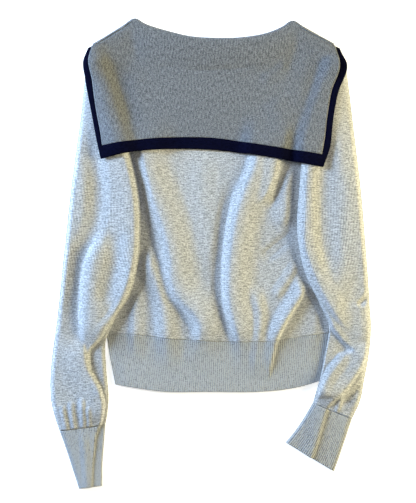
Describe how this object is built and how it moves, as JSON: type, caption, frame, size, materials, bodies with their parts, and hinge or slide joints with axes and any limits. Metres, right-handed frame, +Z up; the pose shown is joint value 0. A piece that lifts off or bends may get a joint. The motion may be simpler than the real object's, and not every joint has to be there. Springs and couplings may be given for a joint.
{
  "type": "sailor jumper",
  "caption": "Fine-knit sailor jumper laid flat, back up: square collar with dark edging, long sleeves folded down at its sides, ribbed hem and cuffs.",
  "frame": {"origin": "centre of the outline, on the surface that the jumper lies on", "axes": "+Y from hem to neck, +Z up from the surface, +X to the side of the sleeve whose cuff turns towards the hem; the back faces +Z"},
  "size_m": [0.4378, 0.6384, 0.022],
  "materials": {
    "grey_jersey": "matte fine melange jersey",
    "grey_collar": "matte close melange knit",
    "grey_rib": "matte one by one rib",
    "navy_knit": "matte dense knit"
  },
  "bodies": {
    "root": {"body_back": "grey_jersey", "body_front": "grey_jersey", "hem_back": "grey_rib", "hem_front": "grey_rib", "sleeve_left": "grey_jersey", "sleeve_right": "grey_jersey", "cuff_left": "grey_rib", "cuff_right": "grey_rib", "collar_back": "grey_collar", "collar_front_left": "grey_collar", "collar_front_right": "grey_collar", "border_back": "navy_knit", "border_front_left": "navy_knit", "border_front_right": "navy_knit"}
  },
  "joints": []
}
